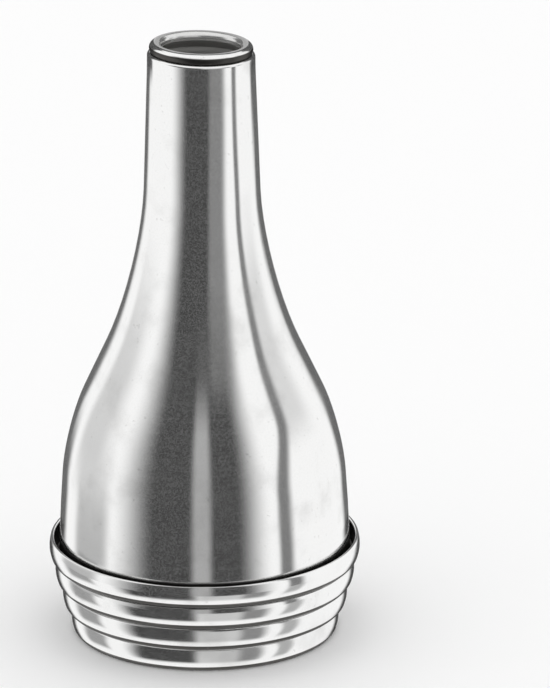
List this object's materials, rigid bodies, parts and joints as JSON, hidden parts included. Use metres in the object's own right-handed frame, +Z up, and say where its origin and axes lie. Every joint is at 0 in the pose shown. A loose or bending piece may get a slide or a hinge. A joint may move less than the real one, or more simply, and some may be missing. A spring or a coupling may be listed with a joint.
{
  "type": "ear speculum set",
  "caption": "Nest of graded metal ear specula standing tips up, each a funnel with an oval tip, a round bell and a curled rim.",
  "frame": {"origin": "on the table under the middle of the nest, in the plane that the smallest speculum's ground foot stands on", "axes": "+Z up along the common axis towards the tips, +X along the long way of the oval tips, +Y along their short way"},
  "size_m": [0.02, 0.02, 0.0399],
  "materials": {
    "polished_plate": "bright polished plate on thin spun sheet metal, with fine polishing lines round the axis"
  },
  "bodies": {
    "speculum_size_1": {"speculum_size_1": "polished_plate"},
    "speculum_size_2": {"speculum_size_2": "polished_plate"},
    "speculum_size_3": {"speculum_size_3": "polished_plate"},
    "speculum_size_4": {"speculum_size_4": "polished_plate"}
  },
  "joints": [
    {"name": "lift_size_2", "type": "slide", "parent": "speculum_size_1", "child": "speculum_size_2", "axis": [0, 0, 1], "range_m": [0, 0.035]},
    {"name": "lift_size_3", "type": "slide", "parent": "speculum_size_2", "child": "speculum_size_3", "axis": [0, 0, 1], "range_m": [0, 0.035]},
    {"name": "lift_size_4", "type": "slide", "parent": "speculum_size_3", "child": "speculum_size_4", "axis": [0, 0, 1], "range_m": [0, 0.035]}
  ]
}
